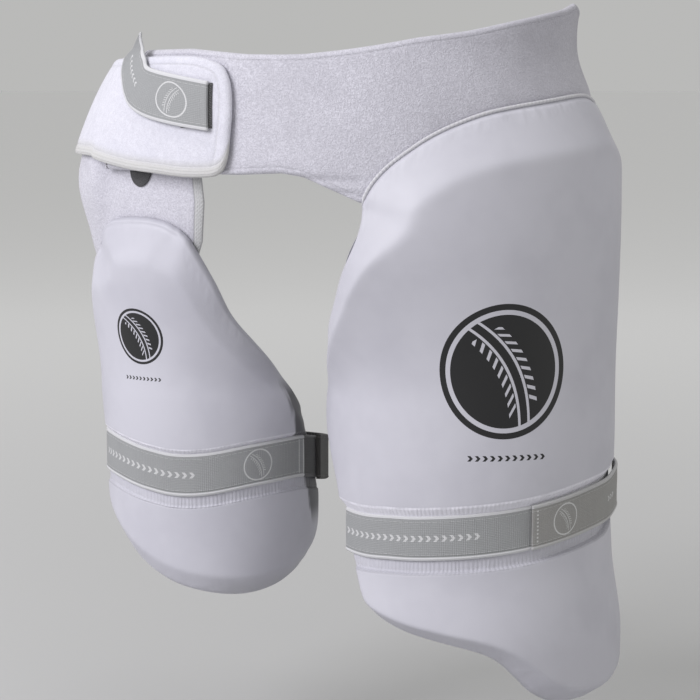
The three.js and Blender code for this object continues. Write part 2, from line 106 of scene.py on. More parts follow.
def hip_half_width(side, z):
    above = 1 - clamp((flare_top - z) / (1.625 * belt_height))
    right = waist_half_right + hip_flare_right * (1 - above * above)
    lip = clamp((z - 0.69 * belt_height) / (0.31 * belt_height))
    roll = np.exp(-(((z - 0.125 * belt_height) / (0.24 * belt_height)) ** 2))
    flare = smooth((0.65 * belt_height - z) / (0.5 * belt_height))
    left = waist_half_left + 4 * lip * lip + hip_flare_left * flare + 4 * roll
    return np.where(side < 0, right, left)


def hip_half_depth(z):
    return waist_half_depth + hip_flare_depth * clamp((flare_top - z) / (0.95 * belt_height))


def on_hips(turn, z, depth):
    """Points round the hips, that deep outwards from the body."""
    sin, cos = np.sin(np.radians(turn)), np.cos(np.radians(turn))
    a, b = hip_half_width(sin, z), hip_half_depth(z)
    size = np.hypot(sin / a, cos / b)
    x = a * sin + depth * sin / a / size
    y = -b * cos - depth * cos / b / size
    return together(x, y, z)


def levels_between(low, high, near, middle):
    """Heights from a low to a high edge, with the same close steps in from both."""
    low, high = np.asarray(low)[:, None], np.asarray(high)[:, None]
    shares = np.linspace(0, 1, middle + 2)[1:-1]
    inside = low + near[-1] + shares * (high - low - 2 * near[-1])
    return np.concatenate([low + near, inside, high - near[::-1]], axis=1)


def rolled(edge, roll):
    """How full a rolled edge is at that distance in from the edge, up to 1."""
    return np.maximum(np.sqrt(1 - (1 - clamp(edge / roll)) ** 2), 0.12)


def groove(edge, at, width):
    """A stitched groove that runs at one distance from an edge: 1 in its middle."""
    return np.exp(-(((edge - at) / width) ** 2))


def ripple(u, v, size, seed):
    """Gentle unevenness from about -1 to 1, with swells about that far apart."""
    chance = np.random.default_rng(seed)
    total = 0
    for _ in range(7):
        angle, phase = chance.uniform(0, 2 * math.pi, 2)
        pitch = size * chance.uniform(0.7, 1.6)
        along = u * math.cos(angle) + v * math.sin(angle)
        total = total + np.sin(2 * math.pi * along / pitch + phase)
    return total / 4


def make_piece(name, face, back, lay, rim, finish, back_finish=None, ring=False, **more_maps):
    """A closed soft piece between its face and its back. lay is where each point lies on the flat
    cloth, rim how far along and how far in from the edge, and further maps come by their names. A
    ring has one more row in each map."""
    rows, columns = lay.shape[:2]
    count = face.shape[0]
    whole = rows * columns
    grid = np.arange(whole).reshape(rows, columns)
    quads = [cells(grid)]
    lines = [grid[:, 0], grid[::-1, -1]]
    if not ring:
        lines += [grid[0, ::-1], grid[-1]]
    for line in lines:
        quads.append(np.stack([line[:-1], line[:-1] + whole, line[1:] + whole, line[1:]], -1))
    shown = sum(len(q) for q in quads)
    quads.append(quads[0][:, ::-1] + whole)
    faces = np.concatenate(quads)
    points = np.concatenate([face.reshape(-1, 3), back.reshape(-1, 3)]) / 1000
    layer, at = np.divmod(faces, whole)
    row, column = np.divmod(at, columns)
    corners = (layer * count + row % count) * columns + column
    a, b, c, d = (points[corners[:, k]] for k in range(4))
    volume = np.sum(a * np.cross(b, c)) + np.sum(a * np.cross(c, d))
    if volume < 0:
        corners, at = corners[:, ::-1], at[:, ::-1]
    mesh = bpy.data.meshes.new(name)
    mesh.from_pydata(points.tolist(), [], corners.tolist())
    for layer_name, values in {"lay": lay, "rim": rim, **more_maps}.items():
        uv = mesh.uv_layers.new(name=layer_name)
        uv.uv.foreach_set("vector", values.reshape(-1, 2)[at.ravel()].astype(np.float32).ravel())
    mesh.polygons.foreach_set("material_index", (np.arange(len(faces)) >= shown).astype(np.int32))
    return add_piece(name, mesh, finish, back_finish or finish)


def operation(kind, reflected=False):
    """A method that adds a Math node of one kind."""

    def method(self, *others):
        operands = (*others, self) if reflected else (self, *others)
        return self.node("ShaderNodeMath", {"operation": kind}, dict(enumerate(operands)))

    return method


class Value:
    """A value in a finish. Sums written with it add Math nodes to that finish."""

    def __init__(self, finish, socket=None):
        self.finish = finish
        self.socket = socket

    def node(self, kind, settings=None, sockets=None, output=0):
        """Adds a node: its settings first, then the values or links of its sockets."""
        tree = self.finish.node_tree
        made = tree.nodes.new(kind)
        for setting, value in (settings or {}).items():
            setattr(made, setting, value)
        for key, value in (sockets or {}).items():
            if isinstance(value, Value):
                tree.links.new(value.socket, made.inputs[key])
            else:
                made.inputs[key].default_value = value
        return Value(self.finish, made.outputs[output] if made.outputs else None)

    __add__ = __radd__ = operation("ADD")
    __mul__ = __rmul__ = operation("MULTIPLY")
    __sub__, __rsub__ = operation("SUBTRACT"), operation("SUBTRACT", reflected=True)
    __truediv__ = operation("DIVIDE")
    __lt__, __gt__ = operation("LESS_THAN"), operation("GREATER_THAN")
    __abs__ = operation("ABSOLUTE")
    sin, part, root = operation("SINE"), operation("FRACT"), operation("SQRT")
    exponent = operation("EXPONENT")

    def bell(self, at, width):
        """1 where the value is at, and falling off over width on both sides."""
        away = (self - at) / width
        return (away * away * -1.0).exponent()

    def wave(self):
        """Its sine, brought between 0 and 1."""
        return self.sin() * 0.5 + 0.5

    def over(self, low, high):
        """0 at low, 1 at high, smooth in between."""
        sockets = {"Value": self, "From Min": low, "From Max": high}
        return self.node("ShaderNodeMapRange", {"interpolation_type": "SMOOTHSTEP"}, sockets)

    def tint(self, base, other):
        """The base colour where the value is 0 and the other where it is 1."""
        base, other = (x if isinstance(x, Value) else (*x, 1) for x in (base, other))
        return self.node("ShaderNodeMix", {"data_type": "RGBA"}, {0: self, 6: base, 7: other}, 2)

    def coated(self, *coats):
        """This colour under coats of others, each given as a mask and a colour."""
        colour = self
        for mask, other in coats:
            colour = mask.tint(colour, other)
        return colour

    def relief(self, height):
        """A bump of that height in metres."""
        return self.node("ShaderNodeBump", None, {"Height": self, "Distance": height})


def start_finish(name):
    finish = bpy.data.materials.new(name)
    finish.use_nodes = True
    finish.node_tree.nodes.clear()
    return Value(finish)


def end_finish(start, colour, rough, **more):
    """Joins the colour, the roughness and whatever else is given to the finish's shader."""
    names = {
        "normal": "Normal",
        "sheen": "Sheen Weight",
        "sheen_rough": "Sheen Roughness",
        "specular": "Specular IOR Level",
    }
    sockets = {names[key]: value for key, value in more.items()}
    sockets.update({"Base Color": colour, "Roughness": rough})
    shader = start.node("ShaderNodeBsdfPrincipled", None, sockets)
    start.node("ShaderNodeOutputMaterial", None, {"Surface": shader})
    return start.finish


def scaled(colour, factor):
    return tuple(factor * x for x in colour)


def read_map(start, name):
    place = start.node("ShaderNodeUVMap", {"uv_map": name})
    return [start.node("ShaderNodeSeparateXYZ", None, {"Vector": place}, axis) for axis in (0, 1)]


def grain(start, size, detail=2.0, stretch=None):
    """Noise with specks about that many millimetres across, in the object's own space."""
    place = start.node("ShaderNodeTexCoord", None, None, 3)
    if stretch:
        place = start.node("ShaderNodeVectorMath", {"operation": "MULTIPLY"}, {0: place, 1: stretch})
    sockets = {"Vector": place, "Scale": 1000 / size, "Detail": detail, "Roughness": 0.6}
    return start.node("ShaderNodeTexNoise", None, sockets)


def dashes(run, edge, at, length=3.2, drawn=0.66, half=0.32):
    """A row of stitches at one distance from an edge: 1 on the thread."""
    return ((run / length).part() < drawn) * (abs(edge - at) < half)


def brushed_nap(start):
    """Brushed velour's raised nap, in two sizes."""
    return (grain(start, 1.1, 3.0) * 0.72 + grain(start, 2.6) * 0.28).over(0.32, 0.68)


belt_stitch = 4.2


def belt_velour():
    """Brushed knit velour, cloudy where it has been stroked and darker round the left hip as painted
    shade, away from the key light, with a row of stitches along the edge."""
    light, dark = (0.66, 0.65, 0.72), (0.47, 0.46, 0.515)
    start = start_finish("belt_velour")
    run, edge = read_map(start, "rim")
    nap = brushed_nap(start)
    # Painted shade: besides the cloudy grain, the velour darkens towards the wearer's left hip, on
    # the side away from the key light.
    shade = grain(start, 34).over(0.35, 0.7) * 0.22 + run.over(20.0, 190.0) * 0.5
    seam, thread = edge.bell(belt_stitch, 0.7), dashes(run, edge, belt_stitch)
    colour = nap.tint(dark, light).coated(
        (shade, scaled(dark, 0.86)),
        (seam * 0.12, scaled(dark, 0.62)),
        (thread * 0.3, scaled(light, 1.12)),
    )
    normal = (nap * 0.5 - seam * 0.4 + thread * 0.3).relief(0.0006)
    return end_finish(start, colour, 0.96, normal=normal, sheen=0.28, sheen_rough=0.5, specular=0.2)


# Turn, low edge and high edge, the heights as shares of the belt's height.
belt_edges = np.array([
    [-48, -0.45, 0.597], [-26, -0.455, 0.605], [-8, -0.461, 0.555], [2, -0.44, 0.55],
    [7, -0.47, 0.556], [15, -0.6, 0.585], [20, -0.68, 0.608], [26, -0.68, 0.64],
    [34, -0.65, 0.69], [47, -0.6, 0.745], [60, -0.575, 0.825], [72, -0.56, 0.89],
    [83, -0.56, 0.94], [90, -0.56, 0.99], [104, -0.55, 0.92], [130, -0.52, 0.74],
    [180, -0.5, 0.6], [220, -0.47, 0.57], [244, -0.46, 0.57],
])
belt_first, belt_last = -48, 244
belt_degree = 2.3
belt_near = np.array([0, 0.12, 0.45, 1.0, 1.7, 2.5, 3.3, 3.8, 4.2, 4.6, 5.1, 6.2])
belt_end = belt_near[:7] / belt_degree
belt_turns = np.linspace(-46.6, 242.6, 270)
belt_turns = np.concatenate([belt_first + belt_end, belt_turns, belt_last - belt_end[::-1]])
belt_low, belt_high = columns_at(belt_turns, belt_edges) * belt_height
belt_z = levels_between(belt_low, belt_high, belt_near, 48)
belt_turn = np.broadcast_to(belt_turns[:, None], belt_z.shape)
belt_u = np.radians(belt_turn) * waist_half_depth * 1.2
belt_end_gap = np.minimum(belt_turn - belt_first, belt_last - belt_turn) * belt_degree
belt_edge = np.minimum(belt_z - belt_low[:, None], belt_high[:, None] - belt_z)
belt_edge = np.minimum(belt_edge, belt_end_gap)
belt_half = belt_thickness / 2 * rolled(belt_edge, belt_thickness / 2)


def crease(u, v, start, end, width):
    """A short fold in the cloth between two places on it: 1 along it, fading at its ends."""
    along = np.subtract(end, start)
    length = math.hypot(*along)
    share = ((u - start[0]) * along[0] + (v - start[1]) * along[1]) / length ** 2
    across = ((u - start[0]) * along[1] - (v - start[1]) * along[0]) / length
    fade = smooth(share * 4) * smooth((1 - share) * 4)
    return fade * np.exp(-((across / width) ** 2))


belt_face = belt_thickness / 2 + belt_half
belt_face = belt_face + 0.35 * ripple(belt_u, belt_z, 46, 3) * smooth(belt_edge / 9)
belt_face -= 0.15 * groove(belt_edge, belt_stitch, 0.9)
belt_along = 2.35 * belt_turn
belt_face -= 1.7 * crease(belt_along, belt_z, (6, -38), (56, -40.5), 2.2)
belt_face -= 1.2 * crease(belt_along, belt_z, (26, -47), (54, -49.5), 2.0)
belt_finish = belt_velour()
belt = make_piece(
    "waist_belt_velour",
    on_hips(belt_turn, belt_z, belt_face),
    on_hips(belt_turn, belt_z, belt_thickness / 2 - belt_half),
    together(belt_u, belt_z),
    together(belt_u, belt_edge),
    belt_finish,
)
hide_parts("waist_belt")


# The closure flap
# A smoother tab of foam between two layers of loop velour. It is sewn over the belt's back end and
# laps over its front end. It has round corners, a topstitched roll all round and a hem below.
layer_gap = 0.5
flap_height = 83.0
flap_thickness = 5.6
flap_inner = belt_thickness + layer_gap
flap_outer = flap_inner + flap_thickness
flap_low_edge = -0.472 * flap_height
flap_reach = 122.0
flap_stitch = 5.6
flap_hem_stitch = 7.2
flap_side_seam = -57.5 * 2.13

# Turn, low edge and high edge, the heights as shares of the flap's height above its low edge.
flap_edges = np.array([
    [-128, 0.03, 0.96], [-90, 0.13, 0.97], [-56, 0.145, 0.98], [-50, 0.115, 0.982],
    [-35, 0.047, 0.993], [-27, 0.024, 0.995], [-21, 0.004, 0.985], [-16.6, 0, 0.955],
    [-13.4, 0.006, 0.914], [-11.6, 0.02, 0.85], [-10.2, 0.06, 0.75], [-9.4, 0.135, 0.61],
    [-9.1, 0.21, 0.49],
])


def spline(points, count):
    """That many points, evenly spaced along a smooth line through the given ones."""
    p = np.asarray(points, float)
    p = np.vstack([p[:1], p, p[-1:]])
    t = np.linspace(0, 1, 24, endpoint=False)[:, None]
    parts = []
    for a, b, c, d in zip(p[:-3], p[1:-2], p[2:-1], p[3:]):
        bend = (2 * b - 2 * c + (c - a) / 2 + (d - b) / 2) * t ** 3
        bend += (3 * c - 3 * b - (c - a) - (d - b) / 2) * t ** 2
        parts.append(bend + (c - a) / 2 * t + b)
    line = np.vstack([*parts, p[-1:]])
    run = travelled(line[:, :2])
    even = np.linspace(0, run[-1], count)
    return np.stack([np.interp(even, run, line[:, k]) for k in range(line.shape[1])], -1)


def to_outline(u, v, line):
    """How far each point of a flat piece is from a line on it, and how far along the line."""
    start, step = line[:-1], np.diff(line, axis=0)
    length = np.maximum(np.hypot(*step.T), 1e-6)
    begun = np.concatenate([[0], np.cumsum(length)])[:-1]
    away_u, away_v = u.ravel()[:, None] - start[:, 0], v.ravel()[:, None] - start[:, 1]
    share = clamp((away_u * step[:, 0] + away_v * step[:, 1]) / length ** 2)
    gap = np.hypot(away_u - share * step[:, 0], away_v - share * step[:, 1])
    near = gap.argmin(1)
    which = np.arange(len(near))
    far_along = begun[near] + share[which, near] * length[near]
    return gap[which, near].reshape(u.shape), far_along.reshape(u.shape)


flap_line = spline(flap_edges * [1, flap_height, flap_height], 240)
flap_line[:, 1:] += flap_low_edge
flap_near = np.array([0, 0.1, 0.35, 0.8, 1.4, 2.1, 2.9, 3.7, 4.4, 5.0, 5.5, 6.0, 6.6, 7.4, 8.4])
flap_back, flap_front = flap_edges[[0, -1], 0]
flap_turns = np.concatenate([
    flap_back + flap_near[:9] / 2.5,
    np.linspace(-126, -18, 96),
    flap_front - 8.6 * np.linspace(1, 0, 46) ** 1.7,
])
flap_low, flap_high = columns_at(flap_turns, flap_line)
flap_z = levels_between(flap_low, flap_high, flap_near, 20)
flap_turn = np.broadcast_to(flap_turns[:, None], flap_z.shape)
flap_degree = math.radians(1) * flap_reach
flap_above, flap_below = flap_line[:, [0, 2]], flap_line[::-1, [0, 1]]
flap_outline = np.concatenate([flap_above, flap_below, flap_above[:1]])
flap_u = flap_turn * flap_degree
flap_edge, flap_run = to_outline(flap_u, flap_z, flap_outline * [flap_degree, 1])
flap_half = flap_thickness / 2 * rolled(flap_edge, flap_thickness / 2)
flap_hem = flap_z - flap_low[:, None]
flap_face = (flap_inner + flap_outer) / 2 + flap_half
flap_face -= 0.25 * groove(flap_edge, flap_stitch, 0.8) * smooth((flap_hem - 4) / 6)
flap_face -= 0.45 * groove(flap_hem, flap_hem_stitch, 0.8) * smooth(flap_edge / 3)
flap_face += 0.35 * ripple(flap_u, flap_z, 38, 8) * smooth((flap_edge - 5) / 9)


def loop_velour():
    """The flap's short loop face: whiter and finer than the belt, cream along its hem."""
    start = start_finish("flap_velour")
    run, edge = read_map(start, "rim")
    along, hem = read_map(start, "lay")
    nap = (grain(start, 0.9, 2.0) * 0.65 + grain(start, 4.0) * 0.35).over(0.3, 0.7)
    lines = (hem * 3.1).wave() * (1 - hem.over(6.0, 7.0))
    seam = edge.bell(flap_stitch, 0.6) * hem.over(6.0, 8.0) + hem.bell(flap_hem_stitch + 0.1, 0.5)
    seam = seam * 0.6 + along.bell(flap_side_seam, 0.6)
    thread = dashes(run, edge, flap_stitch) * hem.over(6.5, 7.5) + dashes(along, hem, 2.6) * 0.6
    colour = nap.tint((0.56, 0.555, 0.62), (0.68, 0.675, 0.745)).coated(
        (grain(start, 30).over(0.45, 0.75) * 0.25, (0.52, 0.52, 0.6)),
        ((1 - hem.over(4.0, 13.0)) * 0.7, (0.53, 0.525, 0.495)),
        (lines * 0.18, (0.4, 0.395, 0.38)),
        (seam * 0.16, (0.42, 0.42, 0.47)),
        (thread * 0.4, (0.66, 0.655, 0.68)),
    )
    normal = (nap * 0.35 + lines * 0.3 + thread * 0.4 - seam * 0.4).relief(0.0005)
    return end_finish(start, colour, 0.9, normal=normal, sheen=0.22, sheen_rough=0.45, specular=0.25)


flap_finish = loop_velour()
flap = make_piece(
    "closure_flap_velour",
    on_hips(flap_turn, flap_z, flap_face),
    on_hips(flap_turn, flap_z, (flap_inner + flap_outer) / 2 - flap_half),
    together(flap_u, flap_hem),
    together(flap_run, flap_edge),
    flap_finish,
)
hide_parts("closure_flap")


# The waist strap
# Ribbed elastic webbing with pale selvedges. It comes round the hip over the flap to its end in
# front. Behind the hip its loose tail turns up and twists on edge.
webbing_thickness = 1.7
waist_strap_width = 34.0
hook_thickness = 1.2
waist_hook_inner = flap_outer + layer_gap
waist_strap_inner = waist_hook_inner + hook_thickness + layer_gap

# Turn and height of the lower and the upper edge, the heights as shares of the strap's width.
waist_strap_edges = np.array([
    [-13.4, -0.215, -15.2, 0.774], [-22.4, -0.109, -25.8, 0.912], [-31.4, 0.041, -31.8, 0.991],
    [-37.9, 0.238, -36.4, 1.074], [-41.4, 0.441, -38.8, 1.235], [-44.2, 0.644, -41.6, 1.4],
    [-47.7, 0.932, -43, 1.603], [-48.8, 1.22, -43.2, 1.768],
])
strap_shares = np.array([
    0, 0.015, 0.04, 0.075, 0.12, 0.2, 0.3, 0.4, 0.5, 0.6, 0.7, 0.8, 0.88, 0.925, 0.96, 0.985, 1,
])


def webbing(name, width, base, drawing, tarnish=0.0, pale=0.85, dark_from=None, dark_to=None):
    """Woven elastic: cross ribs, a paler rolled selvedge along both edges, a thin dashed line just
    inside each, and whatever is woven into the middle. One stretch of it may be dark."""
    start = start_finish(name)
    run, across = read_map(start, "lay")
    half = width / 2
    out = abs(across)
    rib = (run * (2 * math.pi / 1.5)).wave()
    weft = (across * (2 * math.pi / 1.2)).wave()
    selvedge = out.over(half - 2.7, half - 2.1)
    line = dashes(run, out, half - 4.2, 4.2, 0.8, 0.3)
    mark = drawing(run, across)
    coats = [
        (grain(start, 0.9, 3.0).over(0.35, 0.7) * 0.3, scaled(base, 1.18)),
        (grain(start, 16).over(0.4, 0.75) * (0.15 + tarnish), scaled(base, 0.8)),
        (selvedge * pale, (0.62, 0.62, 0.64)),
        (line * 0.3, (0.6, 0.6, 0.61)),
        (mark * 0.75, (0.66, 0.66, 0.67)),
    ]
    if dark_from is not None:
        coats.append(((run > dark_from) * (run < dark_to) * 0.9, (0.055, 0.054, 0.055)))
    colour = (rib * 0.5 + weft * 0.2).tint(scaled(base, 0.92), base).coated(*coats)
    height = rib * (1 - selvedge) * 0.3 + weft * 0.25 + line * 0.3 - out.bell(half - 2.7, 0.5) * 0.8
    normal = (height + mark * 0.35).relief(0.0005)
    return end_finish(start, colour, 0.78, normal=normal, sheen=0.12, specular=0.3)


def webbing_body(edge, thick, selvedge):
    """How thick webbing is at that distance from its edge, with the raised selvedge."""
    return thick * np.clip(0.55 + edge / 2.2, 0, 1) + selvedge * groove(edge, 1.2, 0.8)


def ball_mark(x, y, radius, solid=False):
    """A plain cricket ball: a ring, and in it the raised seam with its stitches, which are left out
    of a solid disc or drawn as lines."""
    lean = 0.5
    out = (x * x + y * y).root()
    p = x * math.cos(lean) + y * math.sin(lean)
    q = y * math.cos(lean) - x * math.sin(lean)
    bow = p + q * q * (0.32 / radius) - 0.12 * radius
    seam = abs(abs(bow) - 0.085 * radius) < 0.022 * radius
    slant = q / (0.15 * radius) + abs(bow) / (0.2 * radius)
    stitches = (slant.part() < 0.36) * (abs(abs(bow) - 0.19 * radius) < 0.065 * radius)
    lines = seam + stitches * (abs(q) < 0.64 * radius) > 0.5
    ring = (out < radius) * (out > 0.91 * radius)
    return ring + (out < 0.84 * radius) * (1 - lines if solid else lines)


def arrow_row(run, across, first, pitch, count, half):
    """A plain row of that many arrow heads, starting at one place."""
    place = (run - first + abs(across) * 0.9) / pitch
    heads = (place.part() < 0.42) * (abs(place - count / 2) < count / 2)
    return heads * (abs(across) < half)


def waist_weave(run, across):
    return ball_mark(run - 25.0, across, 12.0) + arrow_row(run, across, 60, 4.2, 7, 1.8)


webbing_grey = (0.31, 0.316, 0.323)
strap_degree = 2.4
strap_rows = waist_strap_edges * [strap_degree, waist_strap_width, strap_degree, waist_strap_width]
low_u, low_z, high_u, high_z = spline(strap_rows, 90).T[:, :, None]
strap_u = between(low_u, high_u, strap_shares)
strap_z = between(low_z, high_z, strap_shares)
strap_run = travelled(together(strap_u[:, 8], strap_z[:, 8]))[:, None]
strap_tail = smooth((strap_run - 78) / 30)
strap_depth = waist_strap_inner + 4.0 * strap_tail * (1 - strap_shares)
strap_across = (strap_shares - 0.5) * waist_strap_width
strap_edge = np.minimum(waist_strap_width / 2 - abs(strap_across), 9)
strap_body = webbing_body(strap_edge, webbing_thickness, 0.35)
waist_strap = make_piece(
    "waist_strap_webbing",
    on_hips(strap_u / strap_degree, strap_z, strap_depth + strap_body),
    on_hips(strap_u / strap_degree, strap_z, strap_depth),
    together(strap_run, strap_across),
    together(strap_run, strap_edge),
    webbing("waist_webbing", waist_strap_width, webbing_grey, waist_weave),
)
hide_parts("waist_strap")


# The waist strap's hook patch
# A dark patch of stiff hooks sewn under the strap's end, which grips the flap. It shows as a dark
# line just past the end of the webbing.
def hook_pile(name, dark, light):
    """Rows of short plastic hooks on a woven ground."""
    start = start_finish(name)
    run, across = read_map(start, "lay")
    step = 2 * math.pi / 1.5
    rows = (run * step).sin() * (across * step).sin() * 0.5 + 0.5
    mask = (rows * 0.5 + grain(start, 0.8, 3.0) * 0.5).over(0.35, 0.7)
    return end_finish(start, mask.tint(dark, light), 0.7, normal=mask.relief(0.0012), sheen=0.15)


hook_finish = hook_pile("waist_hook", (0.07, 0.07, 0.073), (0.17, 0.17, 0.175))
hook_along, hook_up = np.linspace(0, 1, 24)[:, None], np.linspace(0, 1, 30)[None, :]
hook_turn = between(-21, between(-12.95, -14.4, hook_up), hook_along)
hook_z = between(-0.16, 0.74, hook_up) * waist_strap_width
hook_u = 2.2 * hook_turn
hook_edge = np.minimum(
    17 * np.minimum(hook_along, 1 - hook_along), 30 * np.minimum(hook_up, 1 - hook_up)
)
hook_rise = hook_thickness * rolled(hook_edge, 0.8)
waist_hook = make_piece(
    "waist_strap_hook_pile",
    on_hips(hook_turn, hook_z, waist_hook_inner + hook_rise),
    on_hips(hook_turn, hook_z, waist_hook_inner),
    together(hook_u, hook_z),
    together(hook_u, hook_edge),
    hook_finish,
)
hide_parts("waist_strap_hook")


# The yoke of the smaller pad
# A velour panel over thin foam that hangs from the belt over the right hip and carries the smaller
# pad. Its front edge is bound with a flat tape under two rows of stitches.
yoke_thickness = 4.9
yoke_height = 137.0
yoke_top = 25.0
yoke_tape = 7.0
yoke_outer = -(hook_thickness + 2 * layer_gap)
yoke_inner = yoke_outer - yoke_thickness
right_axis, right_radius, right_taper = -104.0, 67.5, 6.0
left_axis, left_radius = 99.0, 78.0
seam_gap = 0.8
outer_pad_seat = belt_thickness + seam_gap


def reach_to_hips(axis, turn, z, depth):
    """Distance from a thigh's axis to the hips in one direction."""
    sin, cos = np.sin(np.radians(turn)), np.cos(np.radians(turn))
    b = hip_half_depth(z) + depth
    reach = []
    for side in (1, -1):
        a = hip_half_width(side, z) + depth
        square = (sin / a) ** 2 + (cos / b) ** 2
        linear = 2 * axis * sin / a ** 2
        rest = (axis / a) ** 2 - 1
        reach.append((-linear + np.sqrt(linear ** 2 - 4 * square * rest)) / (2 * square))
    return np.where(axis + reach[0] * sin > 0, reach[0], reach[1])


def right_thigh(turn, z):
    leg = right_radius - right_taper * clamp((-200 - z) / 150)
    return between(reach_to_hips(right_axis, turn, z, 0), leg, smooth((-45 - z) / 150))


def left_thigh(turn, z):
    hips = reach_to_hips(left_axis, turn, z, outer_pad_seat)
    return between(hips, left_radius, smooth((-62 - z) / 130))


def around(axis, turn, z, radius):
    angle = np.radians(turn)
    return together(axis + radius * np.sin(angle), -radius * np.cos(angle), z)


def yoke_swell(turn, z):
    start = between(-27, -50, smooth((-60 - z) / 45))
    lower = between(1, 0.15, smooth((-36 - z) / 48))
    return (flap_inner - layer_gap - yoke_outer) * lower * smooth((start - turn) / 14)


# Share of the height below the top, and the turns of the back and the front edge there.
yoke_edges = np.array([[0, -60, 17], [0.3, -68, 21], [0.6, -75, 23], [0.8, -72, 22], [1, -60, 17]])
yoke_near = np.array([0, 0.15, 0.5, 1.1, 1.8, 2.6, 3.4, 4.2, 5.0, 5.8, 6.4, 6.9, 7.5, 8.4])
yoke_drops = levels_between([0.0], [yoke_height], yoke_near[:8], 44)[0]
yoke_degree = math.radians(1) * 118
yoke_from, yoke_to = columns_at(yoke_drops / yoke_height, yoke_edges) * yoke_degree
yoke_u = levels_between(yoke_from, yoke_to, yoke_near, 50)
yoke_turn = yoke_u / yoke_degree
yoke_z = np.broadcast_to((yoke_top - yoke_drops)[:, None], yoke_u.shape)
yoke_front = yoke_to[:, None] - yoke_u
yoke_edge = np.minimum(np.minimum(yoke_front, yoke_u - yoke_from[:, None]), yoke_near.max())
yoke_edge = np.minimum(yoke_edge, np.minimum(yoke_drops, yoke_height - yoke_drops)[:, None])
yoke_half = yoke_thickness / 2 * rolled(yoke_edge, yoke_thickness / 2)
yoke_middle = (yoke_inner + yoke_outer) / 2 + yoke_swell(yoke_turn, yoke_z)
yoke_face = yoke_half - 0.7 * groove(yoke_front, yoke_tape, 0.7)
yoke_face += 0.3 * ripple(yoke_u, yoke_z, 40, 5) * smooth((yoke_front - 8) / 10)


def yoke_velour():
    """The belt's velour, with the flat greenish tape that binds the front edge."""
    start = start_finish("yoke_velour")
    run, front = read_map(start, "rim")
    nap = brushed_nap(start)
    tape = 1 - front.over(yoke_tape - 0.4, yoke_tape + 0.4)
    twill = (run * 2.4 + front * 2.4).wave() * tape
    ridges = front.bell(yoke_tape, 0.6) + front.bell(yoke_tape / 2, 0.5) * 0.6
    threads = dashes(run, front, 2.2) + dashes(run, front, 4.9)
    colour = nap.tint((0.49, 0.48, 0.54), (0.67, 0.66, 0.73)).coated(
        (grain(start, 30).over(0.4, 0.75) * 0.2, (0.44, 0.435, 0.49)),
        (tape * 0.75, (0.47, 0.475, 0.465)),
        (ridges * 0.6, (0.27, 0.27, 0.28)),
        (threads * 0.6, (0.34, 0.345, 0.35)),
    )
    normal = (nap * 0.5 * (1 - tape) + twill * 0.3 - threads * 0.5).relief(0.0006)
    return end_finish(start, colour, 0.96, normal=normal, sheen=0.25, sheen_rough=0.5, specular=0.2)


yoke_finish = yoke_velour()
yoke_leg = right_thigh(yoke_turn, yoke_z) + yoke_middle
yoke = make_piece(
    "inner_pad_yoke_velour",
    around(right_axis, yoke_turn, yoke_z, yoke_leg + yoke_face),
    around(right_axis, yoke_turn, yoke_z, yoke_leg - yoke_half),
    together(yoke_u, yoke_z),
    together(yoke_z, yoke_front),
    yoke_finish,
)
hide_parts("inner_pad_yoke")


# The yoke's hook patch
# A round patch of black hooks glued and sewn to the yoke, where the flap presses on it.
patch_finish = hook_pile("yoke_hook", (0.022, 0.022, 0.025), (0.12, 0.118, 0.13))
patch_radius = 14.2
patch_turn, patch_z = -6.4, -0.42 * belt_height
patch_angle = np.radians(np.arange(0, 360, 7.5))[:, None]
patch_out = patch_radius * np.array([[1, 0.985, 0.95, 0.88, 0.75, 0.6, 0.45, 0.3, 0.15, 0.02]])
patch_u, patch_v = patch_out * np.cos(patch_angle), patch_out * np.sin(patch_angle)
patch_at = patch_turn + np.degrees(patch_u / (waist_half_depth + 6))
patch_skin = right_thigh(patch_at, patch_z + patch_v) + yoke_outer + layer_gap
patch_rise = hook_thickness * rolled(patch_radius - patch_out, 0.7)
patch_lay = together(patch_u, patch_v)
patch_lay = np.concatenate([patch_lay, patch_lay[:1]])
patch = make_piece(
    "yoke_hook_pile",
    around(right_axis, patch_at, patch_z + patch_v, patch_skin + patch_rise),
    around(right_axis, patch_at, patch_z + patch_v, patch_skin),
    patch_lay,
    patch_lay,
    patch_finish,
    ring=True,
)
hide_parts("yoke_hook_patch")


# The smaller thigh pad
# Moulded foam under a smooth coated face, for the right thigh. A bead is moulded along its top, a
# slope leads up to the raised middle, and a channel across it holds the strap.
thigh_strap_width = 31.0
channel_wall = 1.6
pad_roll = 3.6
pad_ridge = 0.05


